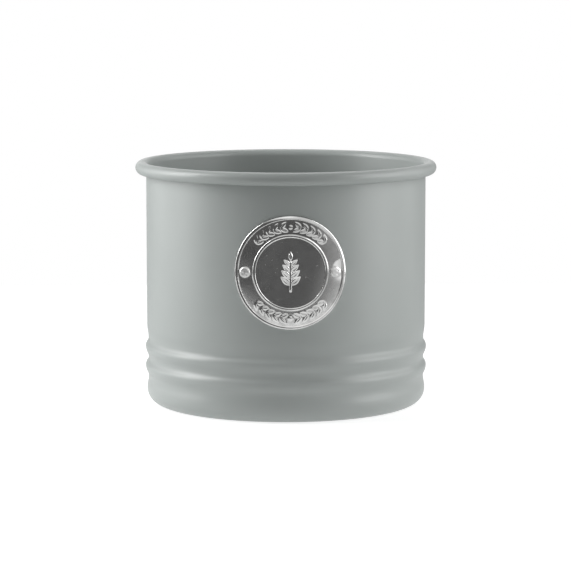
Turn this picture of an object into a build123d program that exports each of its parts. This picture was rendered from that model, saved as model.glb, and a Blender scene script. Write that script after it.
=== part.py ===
from build123d import *
import os
from math import acos, cos, degrees, hypot, sin

# An indoor herb planter: a drawn steel pot with a curled rim and two rolled beads,
# and a round stamped badge riveted to its front. Sizes are in millimetres. +Z is up,
# the pot stands round the Z axis with its foot on Z = 0, and the badge faces -Y.

# Pot shell, one drawn sheet
HEIGHT = 117.5  # foot to the top of the curled rim
WALL_DIAMETER = 135.0  # outside of the plain wall
SHEET = 0.9  # steel with its coat
CURL_DIAMETER = 6.1  # outside of the rolled rim's tube
CURL_TUCK_GAP = 0.3  # cut edge of the curl to the wall
CORNER_RADIUS = 7.0  # outside of the bottom corner
FOOT_WIDTH = 7.0  # flat ring that the pot stands on
BASE_RISE = 2.0  # base panel above the foot
BASE_BEND_RUN = 6.0  # level run of the bend from panel to foot

# Rolled beads low on the wall, with runs measured up the wall
BEAD_COUNT = 2
BEAD_RISE = 0.72  # crest outside the plain wall
GROOVE_DEPTH = 0.65  # groove inside the plain wall
HEEL_LAND = 0.4  # plain wall between the corner and the beads
HEEL_RUN = 5.55  # plain wall to the lowest groove
BEAD_LOWER_RUN = 5.25  # groove to the crest above it
BEAD_UPPER_RUN = 4.1  # crest to the groove above it
NECK_RUN = 6.65  # top groove to the plain wall

# Badge plate, a round stamped blank bent to the wall, with widths on the flat blank
BADGE_DIAMETER = 53.0
BADGE_SHEET = 0.4
BADGE_RIM_WIDTH = 1.9  # raised bead round the edge
BADGE_BAND_WIDTH = 6.9  # flat field between the two raised beads
BADGE_RING_WIDTH = 2.0  # inner raised bead
BADGE_BEAD_RISE = 0.7  # raised beads above the field
BADGE_BEAD_ROUND = 0.55  # rounding of their top edges
LARGEST_ROUND_SHARE = 0.8  # most of a wall's height that a rounding may take
BADGE_LOWERING = 0.5  # centre below the middle of the wall above the beads
BADGE_SEAT_GAP = 0.05  # wall to the back of the plate

# Rivets, in the middle of the badge's band at each side
RIVET_SHANK_DIAMETER = 2.9
RIVET_HOLE_CLEARANCE = 0.05  # shank to hole, all round
RIVET_SEAT_GAP = 0.02  # head to plate and tail to wall
RIVET_HEAD_OVERHANG = 1.2  # head beyond the shank, all round
RIVET_HEAD_HEIGHT = 1.3
RIVET_HEAD_LAND = 0.3  # straight skirt under the dome
RIVET_TAIL_OVERHANG = 0.85  # tail beyond the shank, all round
RIVET_TAIL_HEIGHT = 1.1
RIVET_TAIL_ROUND = 0.4

# Distances from the pot's axis
wall_radius = WALL_DIAMETER / 2
inner_radius = wall_radius - SHEET
plate_back = wall_radius + BADGE_SEAT_GAP
plate_front = plate_back + BADGE_SHEET
head_seat = plate_front + RIVET_SEAT_GAP
tail_seat = inner_radius - RIVET_SEAT_GAP

# Heights above the foot
heel_height = CORNER_RADIUS + HEEL_LAND
top_groove_height = heel_height + HEEL_RUN + BEAD_COUNT * (BEAD_LOWER_RUN + BEAD_UPPER_RUN)
badge_height = (HEIGHT - CURL_DIAMETER + top_groove_height) / 2 - BADGE_LOWERING


def inset(edge, depth):
    """The same line or arc moved sideways, to the left of its run."""
    ends = []
    for place in (0, 1):
        run = edge % place
        ends.append(edge @ place + Vector(-run.Y, run.X) * depth)
    if edge.geom_type == GeomType.LINE:
        return Line(ends)
    return TangentArc(ends, tangent=edge % 0)


def s_bend(start, end, heading):
    """Two equal arcs that leave start and reach end along the same heading."""
    middle = (start + end) / 2
    leaving = TangentArc(start, middle, tangent=heading)
    arriving = TangentArc(middle, end, tangent=leaving % 1)
    return [leaving, arriving]


def base_edges():
    """Outer skin of the base: level panel, bend down to the foot ring, bottom corner."""
    outward = Vector(1, 0)
    foot_end = Vector(wall_radius - CORNER_RADIUS, 0)
    foot_start = foot_end - outward * FOOT_WIDTH
    panel_edge = foot_start - outward * BASE_BEND_RUN + Vector(0, BASE_RISE)
    corner_top = Vector(wall_radius, CORNER_RADIUS)
    edges = [Line((0, BASE_RISE), panel_edge)]
    edges += s_bend(panel_edge, foot_start, outward)
    edges += [Line(foot_start, foot_end), TangentArc(foot_end, corner_top, tangent=outward)]
    return edges


def bead_edges():
    """Outer skin of the beads: a groove below each crest and one above the last."""
    groove_radius = wall_radius - GROOVE_DEPTH
    crest_radius = wall_radius + BEAD_RISE
    one_bead = [(BEAD_LOWER_RUN, crest_radius), (BEAD_UPPER_RUN, groove_radius)]
    stations = [(HEEL_RUN, groove_radius)] + one_bead * BEAD_COUNT + [(NECK_RUN, wall_radius)]
    start = Vector(wall_radius, heel_height)
    edges = []
    for run, radius in stations:
        end = Vector(radius, start.Y + run)
        edges += s_bend(start, end, heading=(0, 1))
        start = end
    return edges


def curl_edge():
    """Outer skin inside the curl, rolled out and down until its cut edge nears the wall."""
    tube_radius = CURL_DIAMETER / 2
    centre = Vector(inner_radius + tube_radius, HEIGHT - tube_radius)
    left_open = degrees(acos((centre.X - wall_radius - CURL_TUCK_GAP) / tube_radius))
    return CenterArc(centre, tube_radius - SHEET, 180, left_open - 360)


def pot_shell():
    """The outer skin, a second skin one sheet inside it, and both turned about the axis."""
    base = base_edges()
    beads = bead_edges()
    curl = curl_edge()
    heel = Line(base[-1] @ 1, beads[0] @ 0)
    wall = Line(beads[-1] @ 1, curl @ 0)
    outer = base + [heel] + beads + [wall, curl]
    inner = [inset(edge, SHEET) for edge in outer]
    cut_ends = [Line(outer[0] @ 0, inner[0] @ 0), Line(outer[-1] @ 1, inner[-1] @ 1)]
    section = make_face(outer + inner + cut_ends)
    return revolve(Plane.XZ * section, Axis.Z) - rivet_holes()


def wall_core(radius):
    """Full cylinder on the pot's axis, to shape what lies against the wall."""
    return Cylinder(radius, HEIGHT, align=(Align.CENTER, Align.CENTER, Align.MIN))


def from_axis(point):
    """Distance of a point from the pot's axis."""
    return hypot(point.X, point.Y)


def round_blank(diameter):
    """A disc as it looks from the front once it is bent to the wall: a slim ellipse."""
    return Ellipse(wall_radius * sin(diameter / 2 / wall_radius), diameter / 2)


def bent(blank, back, front):
    """A blank laid round the wall, thick from one distance off the axis to another."""
    outline = Plane.XZ * Pos(0, badge_height) * blank
    return (wall_core(front) - wall_core(back)) & extrude(outline, front)


def badge_plate():
    """Stamped field with a raised bead at the edge and another inside, hollow behind."""
    rim_inner = BADGE_DIAMETER - 2 * BADGE_RIM_WIDTH
    ring_outer = rim_inner - 2 * BADGE_BAND_WIDTH
    ring_inner = ring_outer - 2 * BADGE_RING_WIDTH
    bead_back = plate_back + BADGE_BEAD_RISE
    bead_front = plate_front + BADGE_BEAD_RISE
    field = bent(round_blank(BADGE_DIAMETER), plate_back, plate_front)
    raised = []
    hollows = []
    for outer, inner in ((BADGE_DIAMETER, rim_inner), (ring_outer, ring_inner)):
        bead = round_blank(outer) - round_blank(inner)
        groove = round_blank(outer - 2 * BADGE_SHEET) - round_blank(inner + 2 * BADGE_SHEET)
        raised.append(bent(bead, plate_back, bead_front))
        hollows.append(bent(groove, inner_radius, bead_back))
    plate = field + raised - hollows - rivet_holes()
    crests = plate.edges().filter_by(lambda edge: from_axis(edge @ 0.5) > bead_front - BADGE_SHEET / 2)
    return fillet(crests, min(BADGE_BEAD_ROUND, LARGEST_ROUND_SHARE * BADGE_BEAD_RISE))


def rivet_plane(side):
    """Frame of a rivet: origin on the pot's axis, Z outwards along the shank."""
    from_centre = BADGE_DIAMETER / 2 - BADGE_RIM_WIDTH - BADGE_BAND_WIDTH / 2
    turn = side * from_centre / wall_radius
    return Plane(
        origin=(0, 0, badge_height),
        x_dir=(cos(turn), sin(turn), 0),
        z_dir=(sin(turn), -cos(turn), 0),
    )


def rivet_holes():
    """The two radial holes that both sheets share."""
    radius = RIVET_SHANK_DIAMETER / 2 + RIVET_HOLE_CLEARANCE
    drill = Pos(0, 0, wall_radius) * Cylinder(radius, wall_radius)
    return [rivet_plane(side) * drill for side in (-1, 1)]


def rivet(side):
    """Domed head on the plate, shank through both holes, tail upset inside the wall."""
    shank_radius = RIVET_SHANK_DIAMETER / 2
    head_radius = shank_radius + RIVET_HEAD_OVERHANG
    tail_radius = shank_radius + RIVET_TAIL_OVERHANG
    crown = Vector(0, head_seat + RIVET_HEAD_HEIGHT)
    skirt = Vector(head_radius, head_seat + RIVET_HEAD_LAND)
    tail_end = Vector(0, tail_seat - RIVET_TAIL_HEIGHT)
    tail_side = Vector(tail_radius, tail_end.Y + RIVET_TAIL_ROUND)
    tail_face = Vector(tail_radius - RIVET_TAIL_ROUND, tail_end.Y)
    outline = [
        TangentArc(crown, skirt, tangent=(1, 0)),
        Polyline(skirt, (head_radius, wall_radius), (tail_radius, wall_radius), tail_side),
        TangentArc(tail_side, tail_face, tangent=(0, -1)),
        Polyline(tail_face, tail_end, crown),
    ]
    blank = revolve(Plane.XZ * make_face(outline), Axis.Z)
    shank_length = (crown.Y + head_seat - tail_end.Y - tail_seat) / 2
    shank_middle = (crown.Y + head_seat + tail_end.Y + tail_seat) / 4
    shank = Pos(0, 0, shank_middle) * Cylinder(shank_radius, shank_length)
    frame = rivet_plane(side)
    both_sheets = wall_core(head_seat) - wall_core(tail_seat)
    return (frame * blank - both_sheets) + frame * shank


def main():
    os.makedirs("parts", exist_ok=True)
    nodes = {
        "pot_shell": pot_shell(),
        "badge_plate": badge_plate(),
        "rivet_left": rivet(-1),
        "rivet_right": rivet(1),
    }
    for name, shape in nodes.items():
        export_step(shape, f"parts/{name}.step")


if __name__ == "__main__":
    main()
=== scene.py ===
import math
from typing import Callable, NamedTuple

import bpy
import numpy as np
from bpy.props import FloatProperty, IntProperty, PointerProperty, StringProperty
from bpy.types import Operator, Panel, PropertyGroup
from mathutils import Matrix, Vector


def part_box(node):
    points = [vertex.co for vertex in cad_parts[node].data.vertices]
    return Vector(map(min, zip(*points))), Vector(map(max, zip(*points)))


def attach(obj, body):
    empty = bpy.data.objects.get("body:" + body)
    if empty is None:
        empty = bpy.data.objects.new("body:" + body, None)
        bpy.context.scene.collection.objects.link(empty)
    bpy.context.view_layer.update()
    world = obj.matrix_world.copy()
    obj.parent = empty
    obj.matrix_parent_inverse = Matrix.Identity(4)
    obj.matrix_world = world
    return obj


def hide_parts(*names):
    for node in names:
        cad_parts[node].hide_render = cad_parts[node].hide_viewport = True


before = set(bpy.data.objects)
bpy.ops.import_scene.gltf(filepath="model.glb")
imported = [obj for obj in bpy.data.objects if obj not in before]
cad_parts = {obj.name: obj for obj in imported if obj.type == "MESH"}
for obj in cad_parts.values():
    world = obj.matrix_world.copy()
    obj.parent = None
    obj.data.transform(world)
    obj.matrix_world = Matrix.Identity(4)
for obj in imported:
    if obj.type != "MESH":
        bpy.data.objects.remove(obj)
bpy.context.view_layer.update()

bl_info = {
    "name": "Indoor herb planter",
    "version": (1, 0, 0),
    "blender": (4, 5, 0),
    "location": "3D View > Sidebar > Planter",
    "description": "Sheet-steel herb planter with a curled rim and a riveted badge, on its packed CAD frame",
    "category": "Add Mesh",
}

MM = 0.001
FULL_TURN = 2 * math.pi
QUARTER_TURN = math.pi / 2
LEFT, RIGHT = -1, 1

# Driving sizes, from the frame where it gives them
SHELL_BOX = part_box("pot_shell")
BADGE_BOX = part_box("badge_plate")
RIM_RADIUS = min(SHELL_BOX[1].x, SHELL_BOX[1].y)
WALL_RADIUS = 67.5 * MM
SHELL_SHEET = 0.9 * MM
RIVET_REACH = 21.15 * MM

# Fineness of the surfaces
ARC_STEP = math.radians(6)
FEWEST_STEPS = 2  # of an arc
SHARP_ANGLE = math.radians(40)
SHELL_COLUMNS = 240
BADGE_COLUMNS = 540
RIVET_COLUMNS = 72
CORNER_ROWS = 7  # each rounding of the badge's beads and of the rivets' tails
PANEL_ROWS = 3  # base panel of the pot
WALL_ROWS = 2  # plain wall below the rivet holes, and again above them
HOLE_QUADS = 4  # rows and columns of wall that a rivet hole takes the place of
WALL_BLOCK = 3.2 * MM  # half the height of those rows
SPRIG_ROWS = 72  # stamped part of the badge's centre field
BOWL_ROWS = 7  # the rest of that field
BAND_ROWS = 6  # band of the badge inside the rows of the rivet holes, and again outside them
BLOCK_ROWS = 21  # rows of the rivet holes
BAND_BLOCK = 2.4 * MM  # half the width of those rows
DOME_ROWS = 25  # rivet's head
TABLE_LINES = 9

# Stamped leaves, with their edge and crease as shares of their half width
LEAF_BREADTH = 0.46  # width as a share of the length
LEAF_SKEW = 0.8  # power of the place along a leaf, so that it is widest nearer its root
LEAF_EDGE = 0.32
CREASE_WIDTH = 0.2
CREASE_DEPTH = 0.45  # share of the leaf's rise
WREATH_BEARINGS = np.radians(40 + 9.2 * np.arange(5))  # leaf pairs, from the level line
WREATH_LEAN = 0.6  # radians to each side of the way round the band
PEARL_RADIUS = 1.1 * MM
SPRIG_HEIGHTS = np.array((-5.6, -2.4, 0.6, 3.4)) * MM
SPRIG_SHARES = (1.0, 0.92, 0.82, 0.7)  # leaf sizes up the stem
SPRIG_LEAN = 0.87  # radians to each side of the stem
SPRIG_TOP = 5.8 * MM
STEM_FOOT = -9 * MM
STEM_HALF = 0.4 * MM
STEM_FLANK = 1.6  # where the stem's sides meet the field, as a share of its half width
STEM_END = 1 * MM  # length of its tapered ends

# Badge's rim and rivets' heads
LEAST_FALL = -0.4  # share of the rim's fall at its far side, where it leans inwards
DOME_POWER = 3  # power of the reach, which keeps a head fuller than an ellipse
DENT_FADE = 6  # power with which the dents fade towards the skirt

# Sockets of the Mix node, which has its own for colours and for numbers
MIX_FACTOR = 0
COLOUR_A, COLOUR_B, COLOUR_MIXED = 6, 7, 2
NUMBER_A, NUMBER_B, NUMBER_MIXED = 2, 3, 0

WHITE = (1, 1, 1, 1)


def length(name, description, default):
    """A length property, with its default in metres."""
    return FloatProperty(
        name=name, description=description, default=default, min=0,
        subtype="DISTANCE", unit="LENGTH", precision=5,
    )


def angle(name, description, degrees):
    """An angle property, with its default in degrees."""
    return FloatProperty(
        name=name, description=description, default=math.radians(degrees),
        subtype="ANGLE", unit="ROTATION",
    )


def strength(name, description, default):
    """A strength property: 1 is all of the lamps' power, or white for a glow or a room."""
    return FloatProperty(name=name, description=description, default=default, min=0)


def colour(name, description, default):
    """A colour as an sRGB hex value."""
    return StringProperty(name=name, description=description, default=default, maxlen=7)


class PotShape(PropertyGroup):
    """Sizes of the drawn pot shell."""

    height: length("Height", "Foot to the top of the curled rim", SHELL_BOX[1].z)
    wall_radius: length("Wall radius", "Outside of the plain wall", WALL_RADIUS)
    sheet: length("Sheet", "Thickness of the steel with its coat", SHELL_SHEET)
    curl: length("Curl", "Outside diameter of the rolled rim", RIM_RADIUS - WALL_RADIUS + SHELL_SHEET)
    tuck_gap: length("Tuck gap", "Cut edge of the curl to the wall", 0.3 * MM)
    corner: length("Corner", "Outside radius of the bottom corner", 7 * MM)
    foot: length("Foot", "Width of the ring that the pot stands on", 7 * MM)
    base_rise: length("Base rise", "Base panel above the foot", 2 * MM)
    base_bend: length("Base bend", "Level run of the bend from the panel to the foot", 6 * MM)
    beads: IntProperty(name="Beads", description="Rolled beads low on the wall", default=2, min=1)
    bead_rise: length("Bead rise", "Crest outside the plain wall", 0.72 * MM)
    groove: length("Groove", "Groove inside the plain wall", 0.65 * MM)
    heel_land: length("Heel land", "Plain wall between the corner and the beads", 0.4 * MM)
    heel_run: length("Heel run", "Plain wall up to the lowest groove", 5.55 * MM)
    bead_lower: length("Bead, lower run", "Groove up to the crest above it", 5.25 * MM)
    bead_upper: length("Bead, upper run", "Crest up to the groove above it", 4.1 * MM)
    neck_run: length("Neck run", "Top groove up to the plain wall", 6.65 * MM)


class BadgeShape(PropertyGroup):
    """Sizes of the stamped badge, with widths on the flat blank."""

    diameter: length("Diameter", "Flat blank", BADGE_BOX[1].z - BADGE_BOX[0].z)
    centre: length("Centre", "Height of its centre above the foot", (BADGE_BOX[1].z + BADGE_BOX[0].z) / 2)
    sheet: length("Sheet", "Thickness of the plate", 0.4 * MM)
    seat_gap: length("Seat gap", "Wall to the back of the plate", 0.05 * MM)
    rim: length("Rim", "Width of the raised bead round the edge", 1.9 * MM)
    rim_fall: length("Rim fall", "How far its top slopes outwards where the press bore hardest", 0.32 * MM)
    rim_bearing: angle("Rim bearing", "Where that is, from the top towards the right", 15)
    ring: length("Ring", "Width of the inner raised bead", 1.7 * MM)
    ring_reach: length("Ring reach", "Outside of the inner raised bead to the centre", 17.9 * MM)
    bead_rise: length("Bead rise", "Raised beads above the field", 0.7 * MM)
    bead_corner: length("Bead corner", "Width of the rounding at each edge of a bead", 0.4 * MM)
    rivet_reach: length("Rivet reach", "Rivets to the centre", RIVET_REACH)
    wreath_leaf: length("Wreath leaf", "Length of the leaves along the band", 4.3 * MM)
    wreath_rise: length("Wreath rise", "Stamped wreath above the band", 0.16 * MM)
    sprig_leaf: length("Sprig leaf", "Length of the lowest leaves in the middle", 6.2 * MM)
    sprig_rise: length("Sprig rise", "Stamped sprig above the centre field", 0.25 * MM)
    sprig_reach: length("Sprig reach", "Stamped part of the centre field", 11 * MM)
    bowl: length("Bowl", "Rise of the centre field towards the inner bead", 0.18 * MM)


class RivetShape(PropertyGroup):
    """Sizes of the two rivets."""

    shank: length("Shank", "Diameter of the shank", 2.9 * MM)
    clearance: length("Clearance", "Shank to hole, all round", 0.05 * MM)
    seat_gap: length("Seat gap", "Head to plate and tail to wall", 0.02 * MM)
    head_overhang: length("Head overhang", "Head beyond the shank, all round", 1.2 * MM)
    head_height: length("Head height", "Crown above its seat", 1.3 * MM)
    head_land: length("Head land", "Straight skirt under the dome", 0.3 * MM)
    dent: length("Dent", "Depth of the marks that the setting tool left", 0.2 * MM)
    tail_overhang: length("Tail overhang", "Tail beyond the shank, all round", 0.85 * MM)
    tail_height: length("Tail height", "Tail below its seat", 1.1 * MM)
    tail_round: length("Tail round", "Rounding of the tail's edge", 0.4 * MM)


class Finishes(PropertyGroup):
    """Colours of the finishes."""

    coat: colour("Coat", "Powder coat on the pot", "#A4A9A7")
    coat_deep: colour("Coat, deeper", "Powder coat where it lies a little thicker", "#9EA3A1")
    plate: colour("Plate", "Bright plate of the badge", "#E4E4E3")
    plate_worn: colour("Plate, handled", "Bright plate under a film of handling", "#BEBEBD")
    rivet: colour("Rivet", "Satin aluminium", "#CBCBCA")
    floor: colour("Floor", "Studio table, under its glow", "#B4B5B5")


class StageSetup(PropertyGroup):
    """Camera, lamps, table and room."""

    camera_azimuth: angle("Camera azimuth", "Where the camera stands round the pot", -1.83)
    camera_distance: length("Camera distance", "Level distance from the pot's axis", 1.2884)
    camera_height: length("Camera height", "Height above the table", 0.2232)
    camera_pitch: angle("Camera pitch", "How far the camera looks down", 7.375)
    camera_pan: angle("Camera pan", "How far the camera looks past the axis", 0.0086)
    camera_lens: FloatProperty(
        name="Lens", description="Focal length", default=168.4, min=1,
        subtype="DISTANCE_CAMERA", unit="CAMERA",
    )
    table_front: length("Table front", "Front edge of the table to the pot's axis", 410 * MM)
    table_back: length("Table back", "Back edge of the table to the pot's axis", 440 * MM)
    table_side: length("Table side", "Side edges of the table to the pot's axis", 500 * MM)
    lamps: strength("Lamps", "Share of the softboxes' power", 1)
    glow: strength("Table glow", "What the camera sees beside the lamps' light", 0.75)
    # The table's glow is painted light: an emission with no lamp under it, which lights the pot's foot and
    # lower wall
    glow_ahead: strength("Glow ahead", "Light of the backlit table at its front edge", 0.59)
    glow_near: strength("Glow near", "Light of the backlit table round the pot's foot", 0.28)
    backdrop: strength("Backdrop", "Light from the room behind and beside the pot", 0.5)
    mirrored_back: strength("Mirrored back", "Room behind and beside the pot, in reflections", 0.28)
    mirrored_front: strength("Mirrored front", "Dim room in front, in reflections", 0.115)


class Softbox(NamedTuple):
    """A soft rectangular lamp."""

    place: tuple  # in metres
    size: tuple  # width and height in metres
    azimuth: float  # side of the pot that it lights, in degrees: 0 is the front, 90 the right
    tilt: float  # downwards, in degrees
    power: float  # in watts


SOFTBOXES = {
    "left": Softbox((-0.6, -0.03, 0.45), (0.36, 0.6), -90, 0, 5.27),
    "left_low": Softbox((-0.6, -0.03, 0.075), (0.36, 0.15), -90, 0, 0.36),
    "left_back": Softbox((-0.6, 0.35, 0.3), (0.3, 0.6), -90, 0, 0.83),
    "right": Softbox((0.6, -0.22, 0.45), (0.42, 0.9), 90, 0, 3.91),
    "right_back": Softbox((0.6, 0.2, 0.3), (0.35, 0.6), 90, 0, 0.72),
    "top_back": Softbox((0, 0.6, 0.8), (0.7, 0.4), 180, 45, 0.76),
}

# Reaches of the table's glow from the pot's axis
GLOW_START = 300 * MM  # behind the pot, where the glow towards the front edge starts
FOOT_GLOW = 60 * MM  # full glow round the foot
FOOT_FADE = 220 * MM  # end of that glow

# Directions in which the room grows white in reflections, with the dot products between
# which it does: the window is up, and a little forward and right, and the screen is behind
# the pot and a little up
WINDOW = (0.4, -0.3, 1.0)
WINDOW_EDGE = (0.28, 0.48)
SCREEN = (0, 0.97, 0.24)
SCREEN_EDGE = (0.93, 0.97)

# Backward part of a direction over which the room turns from its front to its back
ROOM_TURN = (-0.1, 0.2)

SENSOR_WIDTH = 36  # millimetres, as the lens

# Dishes that the rivets draw into the badge's band: across, up, depth and reach
DISHES = (
    (-RIVET_REACH, 0, 0.08 * MM, 4 * MM),
    (24 * MM, 0.7 * MM, 0.36 * MM, 3.2 * MM),
)

# Dents that the setting tool left in each rivet's head: across, up and size as shares of its radius
DENTS = {
    LEFT: ((-0.28, -0.15, 0.3), (0.08, 0.38, 0.32), (0.4, -0.3, 0.2)),
    RIGHT: ((-0.35, 0.0, 0.34), (0.25, -0.4, 0.22), (0.2, 0.3, 0.2)),
}


def linear(hex_colour):
    """sRGB hex to linear RGBA: a straight foot up to 0.04045, and a power of 2.4 above it."""
    coded = np.frombuffer(bytes.fromhex(hex_colour.lstrip("#")), np.uint8) / 255
    light = np.where(coded <= 0.04045, coded / 12.92, ((coded + 0.055) / 1.055) ** 2.4)
    return (*map(float, light), 1.0)


def add_node(tree, kind, inputs=None, **settings):
    """Adds a node with its settings; an input that is given a socket is linked, any other is set."""
    node = tree.nodes.new(kind)
    for key, value in settings.items():
        setattr(node, key, value)
    for key, value in (inputs or {}).items():
        if isinstance(value, bpy.types.NodeSocket):
            tree.links.new(value, node.inputs[key])
        else:
            node.inputs[key].default_value = value
    return node


def new_tree(owner):
    """An empty node tree for a material or a world."""
    owner.use_nodes = True
    owner.node_tree.nodes.clear()
    return owner.node_tree


def powder_coated_steel(finishes):
    """Polyester powder baked on drawn steel."""
    # A matt coat: colour nearly even, a wide soft sheen, and a faint orange peel that
    # breaks the sheen up. The peel's real 0.4 mm grain is drawn at 0.9 mm so that it shows.
    cloud_size = 28 * MM
    peel_grain = 0.9 * MM
    peel_depth = 0.02 * MM
    material = bpy.data.materials.new("matt_powder_coat_on_steel")
    tree = new_tree(material)
    place = add_node(tree, "ShaderNodeTexCoord").outputs["Object"]
    cloud = add_node(tree, "ShaderNodeTexNoise", {"Vector": place, "Scale": 1 / cloud_size, "Detail": 2.0})
    tone = add_node(
        tree, "ShaderNodeMix",
        {
            MIX_FACTOR: cloud.outputs["Fac"],
            COLOUR_A: linear(finishes.coat), COLOUR_B: linear(finishes.coat_deep),
        },
        data_type="RGBA",
    )
    peel = add_node(tree, "ShaderNodeTexNoise", {"Vector": place, "Scale": 1 / peel_grain, "Detail": 1.0})
    sheen = add_node(
        tree, "ShaderNodeMapRange", {"Value": peel.outputs["Fac"], "To Min": 0.3, "To Max": 0.4},
    )
    waves = add_node(
        tree, "ShaderNodeBump",
        {"Height": peel.outputs["Fac"], "Strength": 0.25, "Distance": peel_depth},
    )
    coat = add_node(
        tree, "ShaderNodeBsdfPrincipled",
        {
            "Base Color": tone.outputs[COLOUR_MIXED], "Roughness": sheen.outputs["Result"],
            "Normal": waves.outputs["Normal"], "IOR": 1.5,
        },
    )
    add_node(tree, "ShaderNodeOutputMaterial", {"Surface": coat.outputs["BSDF"]})
    return material


def bright_stamped_plate(finishes):
    """Bright-annealed stainless sheet, stamped."""
    # A near mirror that takes its tone from the room, dulled in cloudy patches by handling
    # and flecked with a few small marks. Real marks of some 0.2 mm are drawn from a grain of
    # 0.8 mm so that they show.
    film_size = 9 * MM
    mark_grain = 0.8 * MM
    mark_depth = 0.01 * MM
    mark_roughness = 0.25
    material = bpy.data.materials.new("bright_stainless_plate")
    tree = new_tree(material)
    place = add_node(tree, "ShaderNodeTexCoord").outputs["Object"]
    film = add_node(tree, "ShaderNodeTexNoise", {"Vector": place, "Scale": 1 / film_size, "Detail": 4.0})
    patches = add_node(
        tree, "ShaderNodeMapRange", {"Value": film.outputs["Fac"], "From Min": 0.35, "From Max": 0.65},
    )
    tone = add_node(
        tree, "ShaderNodeMix",
        {
            MIX_FACTOR: patches.outputs["Result"],
            COLOUR_A: linear(finishes.plate), COLOUR_B: linear(finishes.plate_worn),
        },
        data_type="RGBA",
    )
    grain = add_node(
        tree, "ShaderNodeTexNoise",
        {"Vector": place, "Scale": 1 / mark_grain, "Detail": 3.0, "Distortion": 0.6},
    )
    marks = add_node(
        tree, "ShaderNodeMapRange", {"Value": grain.outputs["Fac"], "From Min": 0.68, "From Max": 0.76},
    )
    dull = add_node(
        tree, "ShaderNodeMapRange",
        {"Value": film.outputs["Fac"], "From Min": 0.3, "From Max": 0.7, "To Min": 0.06, "To Max": 0.13},
    )
    rough = add_node(
        tree, "ShaderNodeMath",
        {0: marks.outputs["Result"], 1: mark_roughness, 2: dull.outputs["Result"]}, operation="MULTIPLY_ADD",
    )
    nicks = add_node(
        tree, "ShaderNodeBump",
        {"Height": marks.outputs["Result"], "Strength": 0.15, "Distance": mark_depth}, invert=True,
    )
    plate = add_node(
        tree, "ShaderNodeBsdfPrincipled",
        {
            "Base Color": tone.outputs[COLOUR_MIXED], "Metallic": 1.0, "Roughness": rough.outputs["Value"],
            "Normal": nicks.outputs["Normal"],
        },
    )
    add_node(tree, "ShaderNodeOutputMaterial", {"Surface": plate.outputs["BSDF"]})
    return material


def satin_aluminium(finishes):
    """Cold-headed aluminium, barrel finished."""
    # Paler than the plate and soft to the eye: a satin metal with a fine pitted grain.
    # The real 0.1 mm pits are drawn at 0.4 mm so that they show.
    pit_size = 0.4 * MM
    pit_depth = 0.03 * MM
    material = bpy.data.materials.new("satin_barrelled_aluminium")
    tree = new_tree(material)
    place = add_node(tree, "ShaderNodeTexCoord").outputs["Object"]
    pits = add_node(tree, "ShaderNodeTexNoise", {"Vector": place, "Scale": 1 / pit_size, "Detail": 3.0})
    rough = add_node(
        tree, "ShaderNodeMapRange", {"Value": pits.outputs["Fac"], "To Min": 0.3, "To Max": 0.42},
    )
    dimples = add_node(
        tree, "ShaderNodeBump", {"Height": pits.outputs["Fac"], "Strength": 0.4, "Distance": pit_depth},
    )
    metal = add_node(
        tree, "ShaderNodeBsdfPrincipled",
        {
            "Base Color": linear(finishes.rivet), "Metallic": 1.0, "Roughness": rough.outputs["Result"],
            "Normal": dimples.outputs["Normal"],
        },
    )
    add_node(tree, "ShaderNodeOutputMaterial", {"Surface": metal.outputs["BSDF"]})
    return material


def white_table(finishes, stage):
    """Matt white acrylic of a backlit studio table."""
    # White to the camera apart from the pot's soft shadow. It glows faintly round the pot's
    # foot and towards its front edge, a painted glow with no lamp under it that lights the pot,
    # and is clear from below so that the base can be seen.
    material = bpy.data.materials.new("matt_white_acrylic_table")
    tree = new_tree(material)
    place = add_node(tree, "ShaderNodeTexCoord").outputs["Object"]
    depth = add_node(tree, "ShaderNodeSeparateXYZ", {"Vector": place}).outputs["Y"]
    ahead = add_node(
        tree, "ShaderNodeMapRange",
        {
            "Value": depth, "From Min": GLOW_START, "From Max": -stage.table_front,
            "To Min": 0.0, "To Max": stage.glow_ahead,
        },
    )
    away = add_node(tree, "ShaderNodeVectorMath", {0: place}, operation="LENGTH").outputs["Value"]
    near = add_node(
        tree, "ShaderNodeMapRange",
        {
            "Value": away, "From Min": FOOT_GLOW, "From Max": FOOT_FADE,
            "To Min": stage.glow_near, "To Max": 0.0,
        },
    )
    light = add_node(
        tree, "ShaderNodeMath", {0: ahead.outputs["Result"], 1: near.outputs["Result"]}, operation="ADD",
    )
    seen = add_node(tree, "ShaderNodeLightPath").outputs["Is Camera Ray"]
    bright = add_node(
        tree, "ShaderNodeMix", {MIX_FACTOR: seen, NUMBER_A: light.outputs["Value"], NUMBER_B: stage.glow},
    )
    glow = add_node(
        tree, "ShaderNodeEmission", {"Color": WHITE, "Strength": bright.outputs[NUMBER_MIXED]},
    )
    lit = add_node(tree, "ShaderNodeBsdfDiffuse", {"Color": linear(finishes.floor)})
    both = add_node(tree, "ShaderNodeAddShader", {0: lit.outputs["BSDF"], 1: glow.outputs["Emission"]})
    clear = add_node(tree, "ShaderNodeBsdfTransparent")
    below = add_node(tree, "ShaderNodeNewGeometry").outputs["Backfacing"]
    table = add_node(
        tree, "ShaderNodeMixShader", {0: below, 1: both.outputs["Shader"], 2: clear.outputs["BSDF"]},
    )
    add_node(tree, "ShaderNodeOutputMaterial", {"Surface": table.outputs["Shader"]})
    return material


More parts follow.
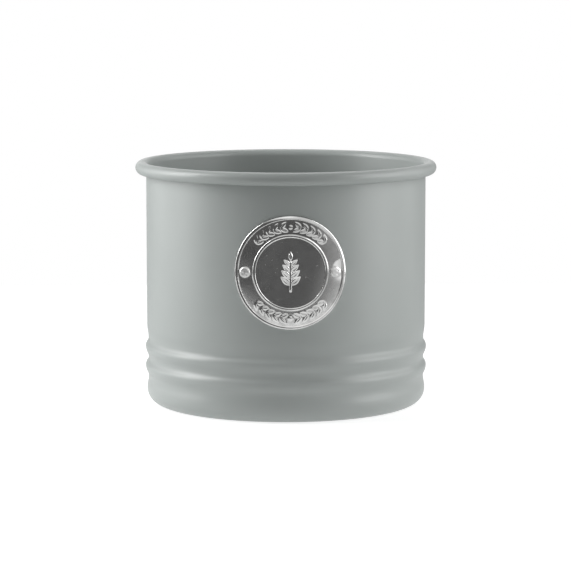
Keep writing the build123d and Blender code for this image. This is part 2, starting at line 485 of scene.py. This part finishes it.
def fill_mesh(mesh, points, quads, triangles):
    """Puts vertices, quads and triangles into a mesh."""
    corners = np.concatenate((quads.ravel(), triangles.ravel()))
    starts = np.concatenate((np.arange(len(quads)) * 4, quads.size + np.arange(len(triangles)) * 3))
    mesh.vertices.add(len(points))
    mesh.vertices.foreach_set("co", points.astype(np.float32).ravel())
    mesh.loops.add(len(corners))
    mesh.loops.foreach_set("vertex_index", corners.astype(np.int32))
    mesh.polygons.add(len(starts))
    mesh.polygons.foreach_set("loop_start", starts.astype(np.int32))
    mesh.update(calc_edges=True)
    mesh.shade_smooth()
    mesh.set_sharp_from_angle(angle=SHARP_ANGLE)


def add_object(name, points, quads, triangles, material):
    """A mesh object at the origin, with its place in its mesh."""
    mesh = bpy.data.meshes.new(name)
    fill_mesh(mesh, points, quads, triangles)
    if mesh.validate():
        raise RuntimeError(f"{name}: the mesh has faulty faces")
    mesh.materials.append(material)
    piece = bpy.data.objects.new(name, mesh)
    bpy.context.scene.collection.objects.link(piece)
    return piece


class Hole(NamedTuple):
    """A round hole through a skin's two sides."""

    rows: tuple  # first and last ring of the block of quads that it takes the place of
    columns: tuple  # first and last column of that block
    around: np.ndarray  # flat places of every ring's points less the hole's centre
    rims: Callable  # gives the edge points on the front and on the back at bearings round the hole


def border(hole):
    """Rings and columns of the points round a hole's block, once round it."""
    low, high = hole.rows
    left, right = hole.columns
    across, up = np.arange(left, right), np.arange(low, high)
    rows = np.concatenate((np.full(len(across), low), up, np.full(len(across), high), up[::-1] + 1))
    columns = np.concatenate((across, np.full(len(up), right), across[::-1] + 1, np.full(len(up), left)))
    return rows, columns


def belt(one, other):
    """Quads between two closed loops of vertex numbers."""
    return np.stack((one, np.roll(one, -1), np.roll(other, -1), other), axis=1)


def skin(rings, mirror=0, holes=()):
    """Vertices, quads and triangles of a closed skin over rings of points.

    The first and last ring are single points, the poles, and each ring closes on itself.
    A hole leaves out a block of quads on the front, ring i, and on the back, ring
    mirror - i, and closes the gap with a belt from each block to a circle and a wall
    between the two circles."""
    rows, columns = rings.shape[:2]
    inner = np.arange(1, 1 + (rows - 2) * columns).reshape(rows - 2, columns)
    last = inner[-1, -1] + 1
    ids = np.vstack((np.zeros((1, columns), int), inner, np.full((1, columns), last)))
    points = [rings[0, :1], rings[1:-1].reshape(-1, 3), rings[-1, :1]]
    keep = np.ones((rows - 1, columns), bool)
    belts = []
    first = last + 1
    for hole in holes:
        low, high = hole.rows
        block = slice(*hole.columns)
        keep[low:high, block] = False
        keep[mirror - high:mirror - low, block] = False
        row, column = border(hole)
        offset = hole.around[row, column]
        points += hole.rims(np.arctan2(offset[:, 1], offset[:, 0]))
        front_rim = first + np.arange(len(row))
        back_rim = front_rim + len(row)
        first = back_rim[-1] + 1
        belts += [
            belt(ids[row, column], front_rim),
            belt(front_rim, back_rim),
            belt(back_rim, ids[mirror - row, column]),
        ]
    ahead = np.roll(ids, -1, axis=1)
    quads = np.stack((ids[:-1], ahead[:-1], ahead[1:], ids[1:]), axis=2)
    first_fan, last_fan = quads[0][:, [0, 2, 3]], quads[-1][:, [0, 1, 2]]
    quads = np.concatenate((quads[1:-1][keep[1:-1]], *belts))
    return np.concatenate(points), quads, np.concatenate((first_fan, last_fan))


def dress(name, rings, material, mirror=0, holes=()):
    """Adds a piece that stands for the CAD node of the same name."""
    piece = add_object(f"{name}_skin", *skin(rings, mirror, holes), material)
    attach(piece, "root")
    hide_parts(name)


def bearings(count):
    """Even bearings round a full turn, without its end."""
    return np.arange(count) * (FULL_TURN / count)


def about_axis(reach, turn, height):
    """Places about the pot's axis: (r sin a, -r cos a, z), with turn 0 at the front."""
    return np.stack(np.broadcast_arrays(reach * np.sin(turn), -reach * np.cos(turn), height), axis=-1)


def bend(run, turn):
    """A circular move of a walk, as its length, its turn and its number of steps."""
    return run, turn, max(FEWEST_STEPS, math.ceil(abs(turn) / ARC_STEP))


def s_bend(run, step):
    """Two equal arcs that shift a walk to its left by step over a run along its heading.

    Each arc turns by 2 atan(step / run) on a radius of (run^2 + step^2) / (4 step)."""
    turn = 2 * math.atan(step / run)
    arc = (run ** 2 + step ** 2) / (4 * step) * turn
    return [bend(arc, turn), bend(arc, -turn)]


def walk(start, moves):
    """Points of a chain of straight and circular moves, and the heading at each.

    A move of length L that leaves on heading A and turns by T has covered, at share t,
    the chord L t sinc(T t / 2) on the heading A + T t / 2."""
    lengths, turns, steps = (np.array(values) for values in zip(*moves))
    headings = np.cumsum(turns) - turns

    def chord(move, share):
        half = turns[move] * share / 2
        reach = lengths[move] * share * np.sinc(half / math.pi)
        heading = headings[move] + half
        return reach[:, None] * np.stack((np.cos(heading), np.sin(heading)), axis=1)

    every = np.arange(len(moves))
    ends = start + np.cumsum(chord(every, np.ones(len(moves))), axis=0)
    begins = np.vstack((start, ends[:-1]))
    move = np.repeat(every, steps)
    share = (np.arange(len(move)) - (np.cumsum(steps) - steps)[move] + 1) / steps[move]
    points = np.vstack((start, begins[move] + chord(move, share)))
    return points, np.append(0, headings[move] + turns[move] * share)


def shell_section(pot, hole_height):
    """The sheet's outer skin as a walk from the base's centre to the curl's cut edge.

    Returns its points as distance from the axis and height, its headings, and the numbers
    of the rows that bound the block of wall round the rivet holes."""
    tube = pot.curl / 2
    roll = tube - pot.sheet
    rolled = FULL_TURN - math.acos((roll - pot.tuck_gap) / tube)
    foot_start = pot.wall_radius - pot.corner - pot.foot
    swing = pot.groove + pot.bead_rise
    moves = [(foot_start - pot.base_bend, 0, PANEL_ROWS)]
    moves += s_bend(pot.base_bend, -pot.base_rise)
    moves += [(pot.foot, 0, 1), bend(pot.corner * QUARTER_TURN, QUARTER_TURN), (pot.heel_land, 0, 1)]
    moves += s_bend(pot.heel_run, pot.groove)
    moves += (s_bend(pot.bead_lower, -swing) + s_bend(pot.bead_upper, swing)) * pot.beads
    moves += s_bend(pot.neck_run, -pot.groove)
    neck_top = pot.corner + pot.heel_land + pot.heel_run + pot.neck_run
    neck_top += pot.beads * (pot.bead_lower + pot.bead_upper)
    below = hole_height - WALL_BLOCK - neck_top
    above = pot.height - tube - hole_height - WALL_BLOCK
    first = sum(steps for _, _, steps in moves) + WALL_ROWS
    moves += [(below, 0, WALL_ROWS), (2 * WALL_BLOCK, 0, HOLE_QUADS), (above, 0, WALL_ROWS)]
    moves += [bend(roll * rolled, -rolled)]
    points, headings = walk(np.array((0, pot.base_rise)), moves)
    return points, headings, (first, first + HOLE_QUADS)


def pot_shell_skin(pot, badge, rivets):
    """Rings of the shell, its mirror number and its two holes.

    The section's outer skin is turned about the pot's axis. The inner skin is the outer one
    moved one sheet to the left of its heading, run backwards."""
    outer, headings, block = shell_section(pot, badge.centre)
    normals = np.stack((-np.sin(headings), np.cos(headings)), axis=1)
    section = np.vstack((outer, (outer + pot.sheet * normals)[::-1]))
    reach, height = section[:, :1], section[:, 1:]
    turn = bearings(SHELL_COLUMNS)
    radius = rivets.shank / 2 + rivets.clearance
    holes = []
    for side in (LEFT, RIGHT):
        centre = side * badge.rivet_reach / pot.wall_radius
        away = (turn - centre + math.pi) % FULL_TURN - math.pi
        around = np.stack(np.broadcast_arrays(pot.wall_radius * away, height - badge.centre), axis=2)

        def rims(bearing, centre=centre):
            at = centre + radius * np.cos(bearing) / pot.wall_radius
            z = badge.centre + radius * np.sin(bearing)
            return [about_axis(pot.wall_radius - depth, at, z) for depth in (0, pot.sheet)]

        column = (round(centre / FULL_TURN * SHELL_COLUMNS) - HOLE_QUADS // 2) % SHELL_COLUMNS
        holes.append(Hole(block, (column, column + HOLE_QUADS), around, rims))
    return about_axis(reach, turn, height), len(section) - 1, holes


def soft_step(share):
    """A step that leaves 0 and reaches 1 level: three squares less two cubes."""
    share = np.clip(share, 0, 1)
    return share ** 2 * (3 - 2 * share)


def leaf(place, root, heading, size):
    """Height share of one stamped leaf over places on the flat blank.

    Along the leaf p runs from 0 to 1 and its half width is the sine of pi p^0.8. The
    height climbs from that outline by a soft step, less a crease along the middle."""
    turned = (place - root) / heading
    p, q = turned.real / size, turned.imag / (LEAF_BREADTH * size / 2)
    half = np.sin(math.pi * np.clip(p, 0, 1) ** LEAF_SKEW)
    crease = CREASE_DEPTH * np.exp(-((q / CREASE_WIDTH) ** 2))
    return soft_step((half - np.abs(q)) / LEAF_EDGE) * (1 - crease)


def wreath(badge):
    """Roots, headings and sizes of the leaves along the band.

    Pairs stand on the middle of the band from each rivet towards the top and the bottom,
    leaning to both sides of the way round. One quarter is mirrored to the other three."""
    spoke = np.exp(1j * np.repeat(WREATH_BEARINGS, 2))
    lean = np.exp(1j * np.tile((-WREATH_LEAN, WREATH_LEAN), len(WREATH_BEARINGS)))
    quarter = np.stack((badge.rivet_reach * spoke, 1j * spoke * lean), axis=1)
    leaves = np.concatenate((quarter, -quarter.conj(), quarter.conj(), -quarter))
    return [(root, heading, badge.wreath_leaf) for root, heading in leaves]


def sprig(badge):
    """Roots, headings and sizes of the leaf pairs on the upright stem and of its top leaf."""
    leaves = [(1j * SPRIG_TOP, 1j, SPRIG_SHARES[-1] * badge.sprig_leaf)]
    for height, share in zip(SPRIG_HEIGHTS, SPRIG_SHARES):
        for lean in (-SPRIG_LEAN, SPRIG_LEAN):
            leaves.append((1j * height, 1j * np.exp(1j * lean), share * badge.sprig_leaf))
    return leaves


def ornament(across, up, badge):
    """Rise of the stamped herb ornament over the flat blank.

    A wreath of paired leaves runs along the band to a pearl, a low paraboloid, at the top
    and at the bottom, and a sprig of leaf pairs stands in the middle. Places are complex
    numbers: across and, times i, up."""
    place = across + 1j * up
    stem = soft_step(STEM_FLANK - np.abs(across) / STEM_HALF)
    stem *= soft_step((SPRIG_TOP - up) / STEM_END) * soft_step((up - STEM_FOOT) / STEM_END)
    twig = [stem] + [leaf(place, *one) for one in sprig(badge)]
    band = [leaf(place, *one) for one in wreath(badge)]
    for end in (-1j, 1j):
        away = np.abs(place - end * badge.rivet_reach) / PEARL_RADIUS
        band.append(1 - away ** 2)
    return badge.sprig_rise * np.maximum.reduce(twig) + badge.wreath_rise * np.maximum.reduce(band)


def drawn_in(across, up):
    """How far the rivets draw the field in: a bell curve at each of the dishes."""
    return sum(
        depth * np.exp(-((across - x) ** 2 + (up - y) ** 2) / reach ** 2) for x, y, depth, reach in DISHES
    )


def raised_bead(low, high, rise, corner, floor=0.0):
    """Rows across a raised bead from its inner foot to its outer one, as reach and height.

    Two quarters of an ellipse, each one corner wide, with a level top between them: with
    bearing b, across goes as the cosine of b and up as its sine."""
    bearing = np.linspace(0, QUARTER_TURN, CORNER_ROWS)
    inner = np.stack((low + corner * (1 - np.cos(bearing)), rise * np.sin(bearing)), axis=1)
    outer = np.stack((
        high - corner * (1 - np.sin(bearing)), floor + (rise - floor) * np.cos(bearing),
    ), axis=1)
    return np.vstack((inner, (inner[-1] + outer[0]) / 2, outer))


def hollow(low, high, badge):
    """Rows of the square hollow behind a raised bead, from its outer foot to its inner one."""
    depth = badge.bead_rise - badge.sheet
    outer, inner = high - badge.sheet, low + badge.sheet
    return [(outer, -badge.sheet), (outer, depth), (inner, depth), (inner, -badge.sheet)]


def field(low, high, steps, crowd=1):
    """Rows of a level field between two reaches, without its ends.

    Their distance from the outer end goes as an even share to the power of crowd."""
    reach = high - (high - low) * np.linspace(1, 0, steps + 2)[1:-1] ** crowd
    return np.stack((reach, np.zeros(steps)), axis=1)


def badge_rows(badge):
    """Rows of the badge's front, from its centre to its edge, and of its back, from there
    to its centre, as reach and height above the field.

    Also the first row of the rivet holes, and the mirror number: the numbers of one of their
    rows and of the row behind it add up to it."""
    edge = badge.diameter / 2
    rim_low = edge - badge.rim
    ring_low = badge.ring_reach - badge.ring
    reach = np.linspace(badge.rivet_reach - BAND_BLOCK, badge.rivet_reach + BAND_BLOCK, BLOCK_ROWS)
    block = np.stack((reach, np.zeros(BLOCK_ROWS)), axis=1)
    inside = np.vstack((
        [(0, 0)],
        field(0, badge.sprig_reach, SPRIG_ROWS),
        field(badge.sprig_reach, ring_low, BOWL_ROWS, crowd=2),
        raised_bead(ring_low, badge.ring_reach, badge.bead_rise, badge.bead_corner),
        field(badge.ring_reach, reach[0], BAND_ROWS),
    ))
    outside = np.vstack((
        field(reach[-1], rim_low, BAND_ROWS),
        raised_bead(rim_low, edge, badge.bead_rise, badge.bead_corner, -badge.sheet),
    ))
    front = np.vstack((inside, block, outside))
    rim_hollow = hollow(rim_low, edge, badge)
    ring_hollow = hollow(ring_low, badge.ring_reach, badge)
    back = np.vstack((rim_hollow, block[::-1] - (0, badge.sheet), ring_hollow, [(0, -badge.sheet)]))
    first = len(inside)
    first_behind = len(front) + len(rim_hollow) + BLOCK_ROWS - 1
    return front, back, first, first + first_behind


def stamped(front, bearing, badge):
    """Heights of the front's rows at each bearing, with what the stamping adds.

    The rim's top falls outwards with each row's share of the rim's width and height, times
    the cosine of the bearing from the hardest place, or the least share where that is more.
    The centre field rises with the square of its reach. Level rows get the ornament, less
    the dishes."""
    reach, height = front[:, :1], front[:, 1:]
    across, up = reach * np.sin(bearing), reach * np.cos(bearing)
    relief = np.broadcast_to(height, across.shape).copy()
    rim_low = badge.diameter / 2 - badge.rim
    rim = front[:, 0] > rim_low
    wide = (reach[rim] - rim_low) / badge.rim
    tall = (height[rim] + badge.sheet) / (badge.bead_rise + badge.sheet)
    pressed = np.maximum(np.cos(bearing - badge.rim_bearing), LEAST_FALL)
    relief[rim] -= badge.rim_fall * wide * tall * pressed
    ring_low = badge.ring_reach - badge.ring
    level = front[:, 1] == 0
    centre = level & (front[:, 0] < ring_low)
    relief[centre] += badge.bowl * (reach[centre] / ring_low) ** 2
    relief[level] += ornament(across[level], up[level], badge) - drawn_in(across[level], up[level])
    return relief


def plate_front(pot, badge):
    """Distance of the badge's field from the pot's axis."""
    return pot.wall_radius + badge.seat_gap + badge.sheet


def on_wall(across, up, distance, pot, badge):
    """Points of the flat blank laid round the wall.

    u across and v up come to x = R sin(u / R), y = -sqrt(d^2 - x^2) and z = centre + v, where
    R is the wall's radius and d the distance from the axis."""
    x = pot.wall_radius * np.sin(across / pot.wall_radius)
    return np.stack((x, -np.sqrt(distance ** 2 - x ** 2), badge.centre + up), axis=-1)


def badge_plate_skin(pot, badge, rivets):
    """Rings of the badge, its mirror number and its two holes.

    A row at reach p and bearing b on the flat blank, b = 0 at the top, lies at p sin b across
    and p cos b up, and is laid round the wall."""
    front, back, first, mirror = badge_rows(badge)
    bearing = bearings(BADGE_COLUMNS)
    reach = np.vstack((front, back))[:, :1]
    across, up = reach * np.sin(bearing), reach * np.cos(bearing)
    flat_back = np.broadcast_to(back[:, 1:], (len(back), BADGE_COLUMNS))
    relief = np.vstack((stamped(front, bearing, badge), flat_back))
    base = plate_front(pot, badge)
    rings = on_wall(across, up, base + relief, pot, badge)
    last = first + BLOCK_ROWS - 1
    radius = rivets.shank / 2 + rivets.clearance
    half = math.ceil(BAND_BLOCK / (badge.rivet_reach * FULL_TURN / BADGE_COLUMNS))
    holes = []
    for side in (LEFT, RIGHT):
        centre = side * badge.rivet_reach

        def rims(bearing, centre=centre):
            u, v = centre + radius * np.cos(bearing), radius * np.sin(bearing)
            front_edge = on_wall(u, v, base - drawn_in(u, v), pot, badge)
            return [front_edge, on_wall(u, v, base - badge.sheet, pot, badge)]

        column = BADGE_COLUMNS // 2 - side * BADGE_COLUMNS // 4
        around = np.stack((across - centre, up), axis=2)
        holes.append(Hole((first, last), (column - half, column + half), around, rims))
    return rings, mirror, holes


def dented_dome(side, rivets, bearing):
    """Rows of a rivet's head from its crown to its skirt, as reach and height above its seat.

    At reach p the dome goes as sqrt(1 - (p / head)^3), less a bell curve at each dent that
    fades towards the skirt."""
    head = rivets.shank / 2 + rivets.head_overhang
    share = np.linspace(0, 1, DOME_ROWS)[:, None]
    reach = head * np.sin(share * QUARTER_TURN)
    cap = rivets.head_height - rivets.head_land
    height = rivets.head_land + cap * np.sqrt(1 - (reach / head) ** DOME_POWER)
    for x, y, size in np.array(DENTS[side]) * head:
        away = (reach * np.sin(bearing) - x) ** 2 + (reach * np.cos(bearing) - y) ** 2
        height = height - rivets.dent * np.exp(-away / size ** 2) * (1 - share ** DENT_FADE)
    return reach, height


def rivet_rings(side, pot, badge, rivets):
    """Rings of a rivet from its crown over head, shank and tail to the tail's end.

    At reach p and bearing b from the shank's line the seats follow the cylinder of their
    distance D from the pot's axis, sqrt(D^2 - s^2) with s = p sin b, and the tail's edge is
    a quarter round."""
    shank = rivets.shank / 2
    head, tail = shank + rivets.head_overhang, shank + rivets.tail_overhang
    head_seat = plate_front(pot, badge) + rivets.seat_gap
    tail_seat = pot.wall_radius - pot.sheet - rivets.seat_gap
    tail_end = tail_seat - rivets.tail_height
    bearing = bearings(RIVET_COLUMNS)
    dome_reach, dome_height = dented_dome(side, rivets, bearing)
    quarter = np.linspace(0, QUARTER_TURN, CORNER_ROWS)[:, None]
    round_reach = tail - rivets.tail_round * (1 - np.cos(quarter))
    round_height = tail_end + rivets.tail_round * (1 - np.sin(quarter))

    def seat(distance, reach):
        return np.sqrt(distance ** 2 - (reach * np.sin(bearing)) ** 2)[None]

    def plate_seat(reach):
        dish = drawn_in(side * badge.rivet_reach + reach * np.sin(bearing), reach * np.cos(bearing))
        return seat(head_seat, reach) - dish

    flat = np.ones((1, RIVET_COLUMNS))
    rows = [
        (dome_reach * flat, head_seat + dome_height),
        (head * flat, plate_seat(head)), (shank * flat, plate_seat(shank)),
        (shank * flat, seat(tail_seat, shank)), (tail * flat, seat(tail_seat, tail)),
        (round_reach * flat, round_height * flat), (0 * flat, tail_end * flat),
    ]
    reach, distance = (np.vstack(values) for values in zip(*rows))
    turn = side * badge.rivet_reach / pot.wall_radius
    aside, up = reach * np.sin(bearing), reach * np.cos(bearing)
    return np.stack((
        distance * math.sin(turn) + aside * math.cos(turn),
        -distance * math.cos(turn) + aside * math.sin(turn),
        badge.centre + up,
    ), axis=2)


class PLANTER_OT_pot_shell(Operator):
    """Pot shell: drawn sheet with its base, beads and curled rim"""

    bl_idname = "planter.pot_shell"
    bl_label = "Pot shell"

    def execute(self, context):
        scene = context.scene
        rings, mirror, holes = pot_shell_skin(scene.planter_pot, scene.planter_badge, scene.planter_rivets)
        coat = powder_coated_steel(scene.planter_finishes)
        dress("pot_shell", rings, coat, mirror, holes)
        return {"FINISHED"}


class PLANTER_OT_badge_plate(Operator):
    """Badge plate: stamped disc bent to the wall"""

    bl_idname = "planter.badge_plate"
    bl_label = "Badge plate"

    def execute(self, context):
        scene = context.scene
        rings, mirror, holes = badge_plate_skin(scene.planter_pot, scene.planter_badge, scene.planter_rivets)
        plate = bright_stamped_plate(scene.planter_finishes)
        dress("badge_plate", rings, plate, mirror, holes)
        return {"FINISHED"}


class PLANTER_OT_rivets(Operator):
    """Rivets: one at each side of the badge"""

    bl_idname = "planter.rivets"
    bl_label = "Rivets"

    def execute(self, context):
        scene = context.scene
        metal = satin_aluminium(scene.planter_finishes)
        for name, side in (("rivet_left", LEFT), ("rivet_right", RIGHT)):
            rings = rivet_rings(side, scene.planter_pot, scene.planter_badge, scene.planter_rivets)
            dress(name, rings, metal)
        return {"FINISHED"}


def add_table(stage, finishes):
    """A level table, the plane of two parameters across and along."""
    across = np.linspace(-stage.table_side, stage.table_side, TABLE_LINES)
    along = np.linspace(-stage.table_front, stage.table_back, TABLE_LINES)
    x, y = np.meshgrid(across, along)
    points = np.stack((x, y, np.zeros_like(x)), axis=2).reshape(-1, 3)
    ids = np.arange(x.size).reshape(x.shape)
    quads = np.stack((ids[:-1, :-1], ids[:-1, 1:], ids[1:, 1:], ids[1:, :-1]), axis=2).reshape(-1, 4)
    table = add_object("table", points, quads, np.zeros((0, 3), int), white_table(finishes, stage))


def add_softboxes(stage):
    """The soft lamps round the pot."""
    for name, box in SOFTBOXES.items():
        lamp = bpy.data.lights.new(f"softbox_{name}", "AREA")
        lamp.shape = "RECTANGLE"
        lamp.size, lamp.size_y = box.size
        lamp.energy = box.power * stage.lamps
        softbox = bpy.data.objects.new(lamp.name, lamp)
        softbox.location = box.place
        softbox.rotation_euler = (QUARTER_TURN - math.radians(box.tilt), 0, math.radians(box.azimuth))
        softbox.visible_camera = False
        bpy.context.scene.collection.objects.link(softbox)


def light_room(stage):
    """The room round the pot: lit behind it, dark in front, and plain white to the camera.

    Reflections see a dim room with a white window above the pot and a white screen behind."""
    world = bpy.data.worlds.new("studio_room")
    bpy.context.scene.world = world
    tree = new_tree(world)
    way = add_node(tree, "ShaderNodeTexCoord").outputs["Generated"]
    depth = add_node(tree, "ShaderNodeSeparateXYZ", {"Vector": way}).outputs["Y"]
    lit = add_node(
        tree, "ShaderNodeMapRange",
        {
            "Value": depth, "From Min": ROOM_TURN[0], "From Max": ROOM_TURN[1],
            "To Min": 0.0, "To Max": stage.backdrop,
        },
    )
    dim = add_node(
        tree, "ShaderNodeMapRange",
        {
            "Value": depth, "From Min": ROOM_TURN[0], "From Max": ROOM_TURN[1],
            "To Min": stage.mirrored_front, "To Max": stage.mirrored_back,
        },
    )
    shown = dim.outputs["Result"]
    for direction, (start, end) in ((SCREEN, SCREEN_EDGE), (WINDOW, WINDOW_EDGE)):
        along = add_node(tree, "ShaderNodeVectorMath", {0: way, 1: direction}, operation="DOT_PRODUCT")
        white = add_node(
            tree, "ShaderNodeMapRange",
            {"Value": along.outputs["Value"], "From Min": start, "From Max": end},
        )
        lighter = add_node(
            tree, "ShaderNodeMath", {0: shown, 1: white.outputs["Result"]}, operation="MAXIMUM",
        )
        shown = lighter.outputs["Value"]
    rays = add_node(tree, "ShaderNodeLightPath").outputs
    mirrored = add_node(
        tree, "ShaderNodeMath",
        {0: rays["Is Glossy Ray"], 1: rays["Is Transmission Ray"]}, operation="MAXIMUM",
    )
    light = add_node(
        tree, "ShaderNodeMix",
        {MIX_FACTOR: mirrored.outputs["Value"], NUMBER_A: lit.outputs["Result"], NUMBER_B: shown},
    )
    bright = add_node(
        tree, "ShaderNodeMath",
        {0: rays["Is Camera Ray"], 1: light.outputs[NUMBER_MIXED]}, operation="MAXIMUM",
    )
    room = add_node(
        tree, "ShaderNodeBackground", {"Color": WHITE, "Strength": bright.outputs["Value"]},
    )
    add_node(tree, "ShaderNodeOutputWorld", {"Surface": room.outputs["Background"]})


def add_camera(stage):
    """The photograph's viewpoint."""
    lens = bpy.data.cameras.new("camera")
    lens.lens = stage.camera_lens
    lens.sensor_width = SENSOR_WIDTH
    lens.dof.use_dof = False
    camera = bpy.data.objects.new("camera", lens)
    camera.location = about_axis(stage.camera_distance, stage.camera_azimuth, stage.camera_height)
    camera.rotation_euler = (
        QUARTER_TURN - stage.camera_pitch, 0, stage.camera_azimuth + stage.camera_pan,
    )
    bpy.context.scene.collection.objects.link(camera)
    bpy.context.scene.camera = camera


class PLANTER_OT_stage(Operator):
    """Stage: table, lamps, room and camera"""

    bl_idname = "planter.stage"
    bl_label = "Stage"

    def execute(self, context):
        stage = context.scene.planter_stage
        context.scene.view_settings.view_transform = "Standard"
        add_table(stage, context.scene.planter_finishes)
        add_softboxes(stage)
        light_room(stage)
        add_camera(stage)
        return {"FINISHED"}


SETTINGS = {
    "planter_pot": PotShape,
    "planter_badge": BadgeShape,
    "planter_rivets": RivetShape,
    "planter_finishes": Finishes,
    "planter_stage": StageSetup,
}
OPERATORS = (PLANTER_OT_pot_shell, PLANTER_OT_badge_plate, PLANTER_OT_rivets, PLANTER_OT_stage)


class PLANTER_PT_sidebar(Panel):
    """Lists the planter's settings and operators"""

    bl_idname = "PLANTER_PT_sidebar"
    bl_label = "Herb planter"
    bl_space_type = "VIEW_3D"
    bl_region_type = "UI"
    bl_category = "Planter"

    def draw(self, context):
        for setting in SETTINGS:
            box = self.layout.box()
            group = getattr(context.scene, setting)
            for key in group.__annotations__:
                box.prop(group, key)
        for operator in OPERATORS:
            self.layout.operator(operator.bl_idname)


def register():
    """Adds the classes, and the settings to the scene."""
    for group in SETTINGS.values():
        bpy.utils.register_class(group)
    for setting, group in SETTINGS.items():
        setattr(bpy.types.Scene, setting, PointerProperty(type=group))
    for owner in (*OPERATORS, PLANTER_PT_sidebar):
        bpy.utils.register_class(owner)


def unregister():
    """Takes them away again."""
    for owner in (PLANTER_PT_sidebar, *reversed(OPERATORS)):
        bpy.utils.unregister_class(owner)
    for setting, group in reversed(SETTINGS.items()):
        delattr(bpy.types.Scene, setting)
        bpy.utils.unregister_class(group)


def main():
    """Builds the pieces and the stage."""
    register()
    bpy.ops.planter.pot_shell()
    bpy.ops.planter.badge_plate()
    bpy.ops.planter.rivets()
    bpy.ops.planter.stage()


if __name__ == "__main__":
    main()
